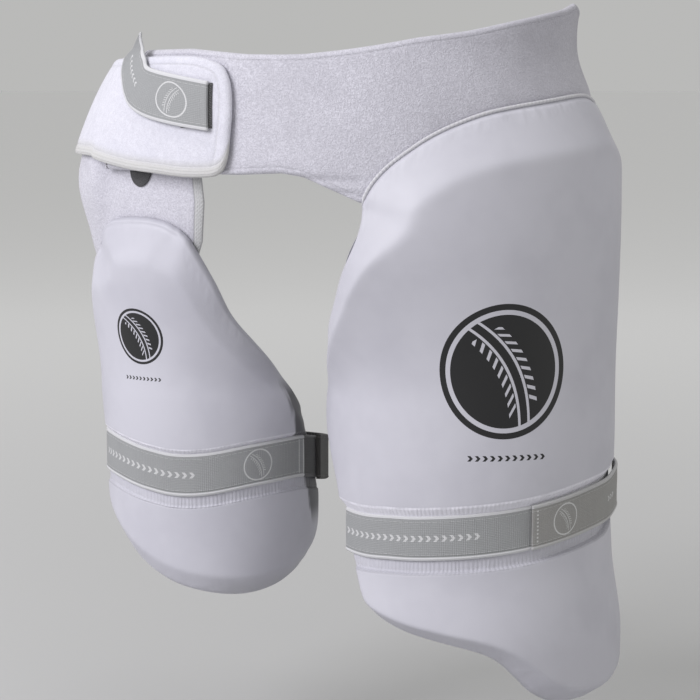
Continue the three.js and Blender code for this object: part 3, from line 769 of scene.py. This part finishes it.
class Pad:
    """The sizes of a moulded pad. Its outline has four sides of turns and drops, the drops as shares
    of its height, and its grid is stretched between them, with rows that follow the channel."""

    def __init__(self, **sizes):
        self.__dict__.update(sizes)
        degree = math.radians(1) * self.reach
        place = lambda rows: np.array(rows, float) * [degree, -self.height] + [0, self.top]
        self.degree = degree
        self.sides = {name: spline(place(rows), 160) for name, rows in self.outline.items()}
        self.strap_rises = spline(self.strap_rises, 240)

    def strap_z(self, turn):
        rise = columns_at(turn, self.strap_rises)[0]
        return self.top - self.strap_drop + rise * thigh_strap_width

    def strap_radius(self, turn):
        """Where the strap runs: on the pad, then straight to the back of the thigh."""
        level = self.strap_z(turn)
        on_pad = self.thigh(turn, level) + self.seat + self.depth - self.cinch - self.channel_depth
        skin = self.thigh(180, level) + layer_gap
        first, last = self.strap_on_pad
        past = np.maximum(np.maximum(turn - last, first - turn), 0)
        free = np.degrees(np.arccos(skin / on_pad))
        leaving = skin / np.cos(np.radians(np.maximum(free - past, 0)))
        return np.where(past > 0, np.where(past >= free, skin, leaving), on_pad)

    def point(self, across, down):
        """A place on the flat pad, across and down its outline."""
        pick = lambda side, share: together(
            *(np.interp(share, np.linspace(0, 1, len(side)), side[:, k]) for k in (0, 1))
        )
        top, right, bottom, left = (self.sides[k] for k in ("top", "right", "bottom", "left"))
        a, d = across[..., None], down[..., None]
        corners = between(between(top[0], top[-1], a), between(bottom[0], bottom[-1], a), d)
        ends = between(pick(top, across), pick(bottom, across), d)
        return ends + between(pick(left, down), pick(right, down), a) - corners

    def grid(self):
        """Places along and up the flat pad, and how deep in the channel each lies, up to 1."""
        even = lambda count: np.linspace(0, 1, count)
        across = between(even(self.columns), smooth(even(self.columns)), 0.8)
        fine = even(500)
        line = self.point(*np.broadcast_arrays(across[:, None], fine[None, :]))
        gap = line[..., 1] - self.strap_z(line[..., 0] / self.degree)
        half = thigh_strap_width / 2
        upper = np.array([np.interp(-half - self.above, -g, fine) for g in gap])
        lower = np.array([np.interp(half + self.below, -g, fine) for g in gap])
        above, below = even(self.rows_above), even(self.rows_below)
        above = between(above, smooth(above), 0.8)
        below = between(below, smooth(below), 0.8)
        channel = self.above + self.below + thigh_strap_width
        wall_steps = np.array([0.15, 0.35, 0.6, 0.85, 1.15]) * channel_wall / channel
        inside = np.linspace(2.4 * channel_wall / channel, 1 - 2.4 * channel_wall / channel, 15)
        inside = np.concatenate([wall_steps, inside, 1 - wall_steps[::-1]])
        down = np.concatenate([
            above[:, None] * upper,
            between(upper, lower, inside[:, None]),
            between(lower, 1.0, below[:, None]),
        ])
        place = self.point(np.broadcast_to(across, down.shape), down)
        upper_wall = 1 - smooth(inside * channel / (1.6 * self.above))
        lower_wall = 1 - smooth((1 - inside) * channel / channel_wall)
        sunk = np.concatenate([0 * above, 1 - upper_wall - lower_wall, 0 * below])
        return place[..., 0], place[..., 1], np.broadcast_to(sunk[:, None], down.shape)


def pad_piece(pad, name, finish):
    """A pad's piece: bevels from all four sides, softly joined, drawn in and sunk at the strap."""
    u, z, in_channel = pad.grid()
    turn = u / pad.degree
    sides = [(*to_outline(u, z, line[::2]), *pad.rims[side]) for side, line in pad.sides.items()]
    gaps, runs, rims, widths = zip(*sides)
    rises = np.array([g / (w(z) if callable(w) else w) for g, w in zip(gaps, widths)])
    gaps, runs = np.array(gaps), np.array(runs)
    near = gaps.argmin(0)
    edge = np.take_along_axis(gaps, near[None], 0)[0]
    run = np.take_along_axis(runs, near[None], 0)[0]
    pulls = np.exp(-rises / pad.corner)
    rim = np.tensordot(rims, pulls, 1) / pulls.sum(0)
    rise = np.maximum(-pad.corner * np.log(pulls.sum(0)), 0) ** pad.swell
    rise = -pad_ridge * np.log(np.exp(-rise / pad_ridge) + np.exp(-1 / pad_ridge))
    depth = (rim + (pad.depth - rim) * rise) * rolled(edge, pad_roll)
    strap_z = pad.strap_z(turn)
    reach = np.where(z > strap_z, 0.9, 1.5) * thigh_strap_width
    cinch = pad.cinch * np.exp(-(((z - strap_z) / reach) ** 2)) * depth / pad.depth
    # Above the strap, the far side towards the wearer's left stays full.
    cinch = cinch * (1 - 0.8 * smooth((turn - 70) / 28) * (z > strap_z))
    depth = depth - cinch + pad.dress(u, z, gaps[0], edge)  # gaps[0] is to the top
    radius = pad.thigh(turn, z)
    seat = pad.seat + pad.flare * smooth((pad.flare_from - z) / (pad.height / 7))
    face = radius + seat + depth
    floor = pad.strap_radius(turn) - layer_gap
    on = (in_channel > 0) & (floor < face)
    off_strap = z - strap_z
    beside = smooth((abs(off_strap) - thigh_strap_width / 2) / 3)
    pucker = pad.pucker * ripple(u, 0.3 * z, 9, 12) * beside
    sunk = floor + pucker + (face - floor) * (1 - in_channel)
    face = np.where(on, np.minimum(face, sunk), face)
    piece = make_piece(
        name,
        around(pad.axis, turn, z, face),
        around(pad.axis, turn, z, radius + seat),
        together(u, z),
        together(run, edge),
        finish,
        lining_finish,
        strap=together(u, off_strap),
    )
    return piece


def coated_face(name, pad, light, shade, printing, turned=None):
    """Soft coated synthetic over moulded foam: a fine pebble, faint cloudiness, creases pulled
    towards the edges, puckers and stitches beside the strap, and a printed mark."""
    start = start_finish(name)
    u, v = read_map(start, "lay")
    edge = read_map(start, "rim")[1]
    along, off = read_map(start, "strap")
    pebble, cloud = grain(start, 0.8, 2.0), grain(start, 55, 3.0)
    pull = grain(start, 13, 2.0, (1.0, 1.0, 0.35))
    height = pebble * 0.06 + pull.over(0.3, 0.7) * (1 - edge.over(3.0, 15.0)) * 0.6
    fold = (along * (2 * math.pi / 3.1) + pull * 9.0).wave()
    high = thigh_strap_width / 2 + pad.above
    low = -thigh_strap_width / 2 - pad.below
    band = off.over(low - 1.0, low + 1.0) * (1 - off.over(high - 1.0, high + 1.0))
    height = height + fold * band * abs(off).over(14.0, 17.0) * 0.3
    welt = off.over(11.0, 13.0) * (1 - off.over(high - 0.5, high + 1.0))
    coats = [
        # Painted shade: darker along the last 2 mm of the edge, where the face rolls under.
        ((1 - edge.over(0.0, 2.2)) * 0.35, scaled(shade, 0.7)),
        # Painted shade in the folds of the puckers beside the strap.
        (fold * band * 0.05, scaled(shade, 0.78)),
        # Painted highlight: the welt on the slope above the strap is painted paler than the face
        # around it.
        (welt * 0.75, (0.74, 0.73, 0.8)),
    ]
    for at, strength in ((high + 0.5, 0.06), (low, 0.3)):
        seam = off.bell(at, 0.5)
        coats.append((seam * strength, scaled(shade, 0.55)))
        height = height - seam * strength * 1.6
    thread = dashes(along, off, low + 3.4, 2.8) + dashes(along, off, high - 1.8, 2.8) * 0.6
    coats.append((thread * 0.25, (0.68, 0.675, 0.71)))
    # Painted shade on the smaller pad: greyer towards its inner edge, and a near-black band along
    # that edge.
    if turned is not None:
        shadow = (1 - edge.over(2.0, 18.0)) * u.over(20.0, 60.0) * 0.3
        coats += [(shadow, (0.3, 0.3, 0.315)), (turned(u, v, pull), (0.06, 0.06, 0.066))]
    ink = printing(u, v)
    coats.append((ink, (0.012, 0.012, 0.013)))
    colour = cloud.over(0.35, 0.7).tint(light, shade).coated(*coats)
    normal = (height + thread * 0.2).relief(0.0008)
    rough = 0.46 + cloud * 0.08 - ink * 0.08
    return end_finish(start, colour, rough, normal=normal, specular=0.42)


def lining():
    """The brushed lining on the side towards the leg."""
    start = start_finish("pad_lining")
    nap = (grain(start, 1.1, 3.0) * 0.6 + grain(start, 3.0) * 0.4).over(0.35, 0.65)
    colour = nap.tint((0.46, 0.46, 0.49), (0.6, 0.6, 0.63))
    return end_finish(start, colour, 0.95, normal=nap.relief(0.0004), sheen=0.2)


lining_finish = lining()


def small_print(u, v):
    ball = ball_mark(u + 17.5, v + 155.0, 20.5, solid=True)
    return ball + arrow_row(u, v + 186.0, -33.5, 3.4, 10, 1.3)


def painted_edge_shade(u, v, pull):
    """Painted shade: a near-black band along the pad's inner edge, ragged where the creases pull it.
    """
    band = (u + (v + 204.0) * 0.4 + (pull - 0.5) * 18.0).over(96.5, 102.0)
    return band * (1 - v.over(-202.0, -184.0)) * v.over(-304.0, -286.0) * 0.9


def inner_dress(u, z, top_gap, edge):
    bead = 0.5 * groove(top_gap, 2.4, 1.5) - 0.5 * groove(top_gap, 4.6, 0.9)
    pucker = 0.55 * ripple(u * 0.5, z, 11, 21) * smooth((u - 40) / 30) * (1 - smooth(edge / 22))
    return bead + pucker * smooth(edge / 3) + 0.35 * ripple(u, z, 70, 4) * smooth(edge / 20)


inner_pad = Pad(
    thigh=right_thigh, axis=right_axis, seat=yoke_outer + seam_gap, top=-69.0, height=277.0,
    depth=17.0, reach=84.5, flare=0.0, flare_from=-69.0, cinch=1.5, channel_depth=1.6, above=3.0,
    below=9.0, pucker=0.4, swell=0.95, corner=0.09, rows_above=80, rows_below=44, columns=124,
    strap_on_pad=(-70, 112), strap_drop=167.0,
    strap_rises=np.array([
        [-180, -0.62], [-90, -0.4], [-47, -0.3], [-12, -0.52], [4, -0.61], [21, -0.58], [47, -0.4],
        [74, -0.33], [90, -0.42], [115, -0.6], [150, -0.66], [180, -0.62],
    ]),
    rims={"top": (4.0, 32.0), "right": (6.0, 18.5), "bottom": (7.0, 15.0), "left": (7.0, 15.0)},
    dress=inner_dress,
    outline={
        "top": [
            [-38, 0.075], [-34, 0.036], [-27, 0.013], [-16, 0.003], [-2, 0], [7, 0.008],
            [13, 0.026],
        ],
        "right": [
            [13, 0.026], [17.5, 0.055], [26, 0.155], [34, 0.249], [46, 0.321], [63, 0.397],
            [81, 0.473], [90, 0.534], [97, 0.592], [108, 0.661], [122, 0.726],
        ],
        "bottom": [
            [-64, 0.805], [-44, 0.863], [-23, 0.924], [-2, 0.968], [17, 0.989], [36.5, 1],
            [54, 0.998], [72, 0.982], [94, 0.946], [112, 0.899], [124, 0.841], [127, 0.78],
            [122, 0.726],
        ],
        "left": [
            [-38, 0.075], [-47, 0.128], [-56, 0.202], [-65, 0.292], [-71, 0.401], [-75, 0.527],
            [-76, 0.635], [-72, 0.733], [-64, 0.805],
        ],
    },
)
inner_light, inner_shade = (0.54, 0.535, 0.595), (0.5, 0.495, 0.555)
inner_finish = coated_face(
    "inner_pad_face", inner_pad, inner_light, inner_shade, small_print, painted_edge_shade
)
inner_thigh_pad = pad_piece(inner_pad, "inner_thigh_pad_face", inner_finish)
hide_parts("inner_thigh_pad")


# The smaller pad's strap and tab
# Ribbed elastic webbing that lies in the pad's channel and runs round the back of the thigh. Its end
# is boxed with stitches, and a dark doubled tab is sewn on there to pull it by.
def strap_turns(pad, steps):
    first, last = pad.strap_on_pad
    behind = np.linspace(last, first + 360, steps)[1:-1]
    turns = np.concatenate([np.linspace(first, last, steps), behind])
    return np.where(turns > 180, turns - 360, turns)


def strap_piece(
    pad, name, finish, turns, ring, lift=0.0, width=thigh_strap_width, thick=webbing_thickness
):
    """Webbing along those turns round a pad, lifted off the pad where a piece lies below it."""
    turn, across = turns[:, None], width * (strap_shares - 0.5)
    z = pad.strap_z(turn) + across
    edge = width / 2 - abs(across)
    wave = 0.25 * ripple(turn * pad.degree, 3 * z, 40, 31)
    inner = pad.strap_radius(turn) + lift + np.maximum(wave, 0)
    face = around(pad.axis, turn, z, inner + webbing_body(edge, thick, 0.3))
    middle = face[:, len(strap_shares) // 2]
    run = travelled(np.concatenate([middle, middle[:1]]) if ring else middle)[:, None]
    piece = make_piece(
        name,
        face,
        around(pad.axis, turn, z, inner),
        together(run, across),
        together(run, edge),
        finish,
        ring=ring,
    )
    return piece


# The run along the strap where it goes under its tab, and where it comes out behind the leg.
under_tab, behind_leg = 212.0, 300.0


def boxed_end(run, across):
    """A row and a ball, then the box of stitches at the strap's end."""
    box = (abs(run - (under_tab - 6.5)) < 0.5) + (abs(run - (under_tab - 1.0)) < 0.7)
    marks = arrow_row(run, across, 28, 5.6, 17, 2.2) + ball_mark(run - 167, across, 11.5)
    return marks + box * (abs(across) < 12.5)


inner_webbing = webbing(
    "inner_webbing",
    thigh_strap_width,
    webbing_grey,
    boxed_end,
    dark_from=under_tab,
    dark_to=behind_leg,
)
inner_strap = strap_piece(
    inner_pad, "inner_strap_webbing", inner_webbing, strap_turns(inner_pad, 120), True
)
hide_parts("inner_strap")


def tab_cloth():
    """Dark doubled webbing with a turned end and stitches round it."""
    start = start_finish("tab_webbing")
    run, across = read_map(start, "lay")
    rib = (run * (2 * math.pi / 1.9)).wave()
    fuzz = grain(start, 0.9, 3.0)
    colour = (rib * 0.4 + fuzz * 0.6).tint((0.022, 0.021, 0.021), (0.085, 0.08, 0.077))
    thread = dashes(run, abs(across), 14.6)
    colour = (thread * 0.5).tint(colour, (0.16, 0.155, 0.15))
    normal = (rib * 0.6 + fuzz * 0.3 + thread * 0.5).relief(0.0006)
    return end_finish(start, colour, 0.82, normal=normal, sheen=0.2)


tab_turns = np.linspace(96, 138, 60)[:, None]
tab_share = clamp((tab_turns - tab_turns[0] - 5) / 32)
tab_bulge = 3.5
inner_tab = strap_piece(
    inner_pad,
    "inner_strap_tab_webbing",
    tab_cloth(),
    tab_turns[:, 0],
    False,
    lift=webbing_thickness + layer_gap + tab_bulge * np.sin(tab_share * math.pi) ** 2,
    width=thigh_strap_width + 3,
    thick=2 * webbing_thickness,
)
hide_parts("inner_strap_tab")


# The large thigh pad
# Moulded foam under the same coated face, for the left thigh, sewn to the belt along its curved top
# with a thin piping. A broad slope leads from the piping up to the raised middle.
def large_print(u, v):
    ball = ball_mark((u - 57.5) * 1.05, v + 166.5, 46.0, solid=True)
    return ball + arrow_row(u, v + 225.5, 34.0, 5.1, 11, 1.9)


def outer_dress(u, z, top_gap, edge):
    seam = -0.8 * groove(top_gap, 1.6, 0.8)
    pulls = 0.06 * ripple(u, 0.4 * z, 10, 41) * (1 - smooth(top_gap / 16)) * smooth(top_gap / 3)
    return seam + pulls + 0.2 * ripple(u, z, 90, 6) * smooth(edge / 30)


def left_edge(z):
    """How wide the bevel along the large pad's left side is at a height."""
    return np.interp(z, [-190, -150, -118, -96, -70, -40], [15, 14.5, 15, 17, 22, 30])


outer_pad_top, outer_pad_height = 16.0, 421.0
outer_pad = Pad(
    thigh=left_thigh, axis=left_axis, seat=0.0, top=outer_pad_top, height=outer_pad_height,
    depth=25.0, reach=103.0, flare=6.0, flare_from=outer_pad_top - 0.76 * outer_pad_height,
    cinch=3.0, channel_depth=3.0, above=6.0, below=9.5, pucker=0.35, swell=1.0, corner=0.13,
    rows_above=124, rows_below=54, columns=170, strap_on_pad=(-42, 121), strap_drop=286.0,
    strap_rises=np.array([
        [-180, 0.42], [-110, 0.02], [-44, -0.48], [-12, -0.45], [8, -0.37], [26, -0.28], [43, -0.17],
        [69, 0.05], [89, 0.17], [106, 0.35], [150, 0.45], [180, 0.42],
    ]),
    rims={"top": (3.0, 33.5), "right": (7.0, 18.0), "bottom": (7.0, 12.0), "left": (7.0, left_edge)},
    dress=outer_dress,
    outline={
        "top": [
            [-17, 0.173], [-16, 0.154], [-13, 0.128], [-7.6, 0.1], [3, 0.064], [15.6, 0.039],
            [30.4, 0.022], [55.6, 0.008], [78, 0], [92, 0.006], [108, 0.026], [124, 0.055],
        ],
        "right": [
            [124, 0.055], [130, 0.133], [133, 0.323], [133, 0.513], [130, 0.703], [126, 0.836],
            [117, 0.936],
        ],
        "bottom": [
            [-34, 0.835], [-24, 0.857], [-10, 0.874], [7, 0.887], [22, 0.9], [32, 0.917],
            [41, 0.946], [49, 0.973], [59, 0.992], [72, 1], [86, 0.997], [105, 0.975],
            [117, 0.936],
        ],
        "left": [
            [-17, 0.173], [-17, 0.197], [-19, 0.229], [-24, 0.273], [-31.3, 0.328],
            [-42.5, 0.382], [-56, 0.432], [-68, 0.473], [-73, 0.52], [-71, 0.565], [-62, 0.61],
            [-56, 0.648], [-54, 0.679], [-51.5, 0.715], [-46, 0.753], [-40, 0.793], [-34, 0.835],
        ],
    },
)
outer_light, outer_shade = (0.53, 0.525, 0.58), (0.49, 0.485, 0.54)
outer_finish = coated_face("outer_pad_face", outer_pad, outer_light, outer_shade, large_print)
outer_thigh_pad = pad_piece(outer_pad, "outer_thigh_pad_face", outer_finish)
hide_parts("outer_thigh_pad")


def piping_cord(name, pad, offset, radius, finish):
    """A thin covered cord along the top of a pad, standing on its edge."""
    line = pad.sides["top"]
    turn, z = line[:, 0] / pad.degree, line[:, 1]
    centre = around(pad.axis, turn, z + 0.6, pad.thigh(turn, z) + pad.seat + offset)
    along = np.gradient(centre, axis=0)
    along /= np.linalg.norm(along, axis=1)[:, None]
    out = around(0, turn, 0 * turn, 1)
    side = np.cross(along, out)
    side /= np.linalg.norm(side, axis=1)[:, None]
    out = np.cross(side, along)
    angle = np.radians(np.arange(0, 360, 30))[None, :, None]
    ends = np.clip(np.minimum(np.arange(len(z)), np.arange(len(z))[::-1]) / 3, 0.15, 1)
    ring = np.cos(angle) * out[:, None] + np.sin(angle) * side[:, None]
    surface = centre[:, None] + radius * ends[:, None, None] * ring
    rows, columns = surface.shape[:2]
    grid = np.arange(rows * columns).reshape(rows, columns)
    caps = [grid[0].tolist(), grid[-1, ::-1].tolist()]
    mesh = bpy.data.meshes.new(name)
    quads = cells(np.concatenate([grid, grid[:, :1]], axis=1))
    mesh.from_pydata((surface.reshape(-1, 3) / 1000).tolist(), [], quads.tolist() + caps)
    lay = together(travelled(centre)[:, None], np.arange(columns + 1.0)).reshape(-1, 2)
    at = cells(np.arange(len(lay)).reshape(rows, columns + 1)).ravel()
    flat = np.concatenate([lay[at], np.zeros((2 * columns, 2))])
    mesh.uv_layers.new(name="lay").uv.foreach_set("vector", flat.astype(np.float32).ravel())
    return add_piece(name, mesh, finish)


def piping_cover():
    """A folded strip of pale cloth, stitched close along the cord."""
    start = start_finish("piping_cover")
    run, around_it = read_map(start, "lay")
    twist = (run * 2.0 + around_it * 0.52).wave()
    fuzz = grain(start, 0.8, 2.0)
    stitch = (run / 3.0).part() < 0.25
    colour = (twist * 0.4 + fuzz * 0.6).tint((0.5, 0.495, 0.525), (0.62, 0.615, 0.65))
    colour = (stitch * 0.2).tint(colour, (0.38, 0.38, 0.4))
    normal = (twist * 0.3 + fuzz * 0.4 - stitch * 0.3).relief(0.0003)
    return end_finish(start, colour, 0.9, normal=normal, sheen=0.2)


piping = piping_cord("outer_pad_piping", outer_pad, 1.5, 1.3, piping_cover())


# The large pad's strap and its overlap
# The same webbing in the pad's channel and round the thigh. A second end is sewn on over it near the
# wearer's left and stands off the pad behind.
def plain_row(run, across):
    return arrow_row(run, across, 4, 5.6, 20, 2.2)


outer_webbing = webbing("outer_webbing", thigh_strap_width, webbing_grey, plain_row)
outer_strap = strap_piece(
    outer_pad, "outer_strap_webbing", outer_webbing, strap_turns(outer_pad, 150), True
)
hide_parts("outer_strap")


def overlap_weave(run, across):
    bar = ((across / 2.6).part() < 0.5) * (abs(run - 4.0) < 0.6) * (abs(across) < 12.0)
    marks = ball_mark(run - 28.0, across, 11.0) + arrow_row(run, across, 82, 4.2, 3, 1.8)
    return bar + marks


overlap_grey = (0.305, 0.3, 0.293)
overlap_webbing = webbing(
    "overlap_webbing", thigh_strap_width, overlap_grey, overlap_weave, tarnish=0.1, pale=0.5
)
overlap_turns = np.linspace(44, 117, 110)[:, None]
overlap = strap_piece(
    outer_pad,
    "outer_strap_overlap_webbing",
    overlap_webbing,
    overlap_turns[:, 0],
    False,
    lift=webbing_thickness + 1.4 * layer_gap + 4.0 * smooth((overlap_turns - 72) / 34),
)
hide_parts("outer_strap_overlap")


# The floor, the camera and the light
# A pale floor below the guard, which hangs from the waist as it is worn, seen from the wearer's
# front and a little to the left, under soft light from the upper left.
floor_mesh = bpy.data.meshes.new("floor")
floor_mesh.from_pydata([(-60, -60, 0), (60, -60, 0), (60, 60, 0), (-60, 60, 0)], [], [(0, 1, 2, 3)])
floor = add_object("floor", floor_mesh)
floor.location = (0, 0, -0.46)
floor_start = start_finish("floor_paint")
floor_place = floor_start.node("ShaderNodeTexCoord", None, None, 3)
floor_far = floor_start.node("ShaderNodeVectorMath", {"operation": "LENGTH"}, {0: floor_place}, 1)
floor_tone = floor_far.over(0.0, 3.2).tint((0.5, 0.5, 0.5), (0.97, 0.97, 0.97))
floor_mesh.materials.append(end_finish(floor_start, floor_tone, 0.9, specular=0.1))

aim = Vector((0.0054, 0.0022, -0.1690))


def face_guard(name, data, azimuth, elevation, distance):
    """Adds a camera or a lamp that many degrees round and up and metres off, facing the aim."""
    a, e = math.radians(azimuth), math.radians(elevation)
    way = Vector((math.sin(a) * math.cos(e), -math.cos(a) * math.cos(e), math.sin(e)))
    holder = add_object(name, data)
    holder.location = aim + distance * way
    holder.rotation_mode = "QUATERNION"
    holder.rotation_quaternion = (-way).to_track_quat("-Z", "Y")
    return holder


focal_pixels, picture_pixels = 2260, 700
lens = bpy.data.cameras.new("camera")
lens.sensor_width = 36
lens.lens = focal_pixels / picture_pixels * lens.sensor_width
lens.clip_start, lens.clip_end = 0.05, 60
bpy.context.scene.camera = face_guard("camera", lens, 22, 7, 1.65)

for name, azimuth, elevation, distance, size, power, colour in (
    ("key", -34, 30, 2.4, 1.4, 46, (0.97, 0.96, 1.0)),
    ("top", 0, 84, 2.6, 1.8, 16, (1.0, 1.0, 1.0)),
    ("fill", 90, 12, 3.2, 2.4, 9, (1.0, 1.0, 0.93)),
):
    lamp = bpy.data.lights.new(name, "AREA")
    lamp.size, lamp.energy, lamp.color = size, power, colour
    face_guard(name, lamp, azimuth, elevation, distance)

world = bpy.data.worlds.new("studio")
world.use_nodes = True
bpy.context.scene.world = world
world_node = world.node_tree.nodes["Background"]
world_node.inputs["Color"].default_value = (1.0, 1.0, 0.985, 1)
world_node.inputs["Strength"].default_value = 0.49
bpy.context.scene.view_settings.view_transform = "Standard"
